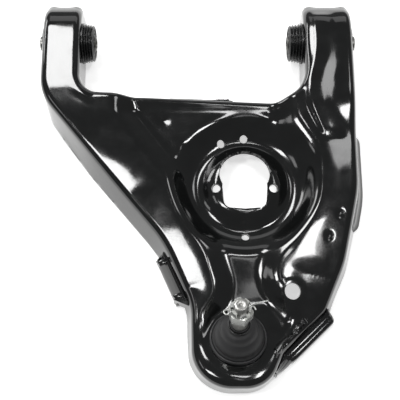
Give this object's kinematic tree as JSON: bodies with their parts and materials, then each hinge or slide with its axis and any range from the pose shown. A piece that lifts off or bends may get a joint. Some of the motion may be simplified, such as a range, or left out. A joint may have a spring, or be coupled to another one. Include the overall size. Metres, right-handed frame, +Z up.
{
  "type": "suspension control arm",
  "caption": "Pressed-steel lower control arm with two rubber pivot bushings, a spring pocket and a ball joint with castle nut.",
  "frame": {"origin": "middle of the left pivot bushing, on the pivot axis", "axes": "+X along the pivot axis from the left to the right bushing, +Y away from the ball joint, +Z up, the way the ball stud points"},
  "size_m": [0.3733, 0.454, 0.1075],
  "materials": {
    "black_paint": "gloss black paint over pressed steel",
    "black_rubber": "moulded rubber",
    "boot_rubber": "matte moulded rubber",
    "zinc_plate": "bright zinc plate",
    "forged_steel": "turned and oiled steel",
    "bearing_plastic": "moulded nylon",
    "brass_fitting": "turned brass"
  },
  "bodies": {
    "arm": {"arm_shell": "black_paint", "rear_doubler": "black_paint", "side_doubler": "black_paint", "nose_doubler": "black_paint", "bump_stop_bracket": "black_paint", "bracket_gusset": "black_paint", "bracket_strap": "black_paint", "left_outer_sleeve": "black_paint", "left_rubber": "black_rubber", "right_outer_sleeve": "black_paint", "right_rubber": "black_rubber", "ball_joint_housing": "forged_steel", "ball_joint_cover": "forged_steel", "lower_bearing": "bearing_plastic", "preload_washer": "black_rubber", "grease_fitting": "brass_fitting"},
    "left_sleeve": {"left_inner_sleeve": "zinc_plate"},
    "right_sleeve": {"right_inner_sleeve": "zinc_plate"},
    "boot_seat": {"upper_bearing": "bearing_plastic", "dust_boot": "boot_rubber", "boot_base_ring": "boot_rubber"},
    "boot_collar": {"boot_neck_ring": "forged_steel"},
    "stud": {"ball_stud": "forged_steel", "castle_nut": "zinc_plate", "cotter_pin": "zinc_plate"}
  },
  "joints": [
    {"name": "left_pivot_twist", "type": "hinge", "parent": "arm", "child": "left_sleeve", "pos_m": [0, 0, 0], "axis": [1, 0, 0], "range_deg": [-20, 20], "stiffness_Nm_per_rad": 0.5},
    {"name": "right_pivot_twist", "type": "hinge", "parent": "arm", "child": "right_sleeve", "pos_m": [0.298, 0, 0], "axis": [1, 0, 0], "range_deg": [-20, 20]},
    {"name": "boot_turn", "type": "hinge", "parent": "arm", "child": "boot_seat", "pos_m": [0.195, -0.35635, -0.00636], "axis": [0, 0.2079, 0.9781], "continuous": true},
    {"name": "stud_swing", "type": "hinge", "parent": "boot_seat", "child": "boot_collar", "pos_m": [0.195, -0.35635, -0.00636], "axis": [1, 0, 0], "range_deg": [-22, 22], "deforming": ["dust_boot"]},
    {"name": "stud_spin", "type": "hinge", "parent": "boot_collar", "child": "stud", "pos_m": [0.195, -0.35635, -0.00636], "axis": [0, 0.2079, 0.9781], "continuous": true}
  ],
  "couplings": [
    {"joint": "right_pivot_twist", "follows": "left_pivot_twist", "ratio": 1}
  ]
}
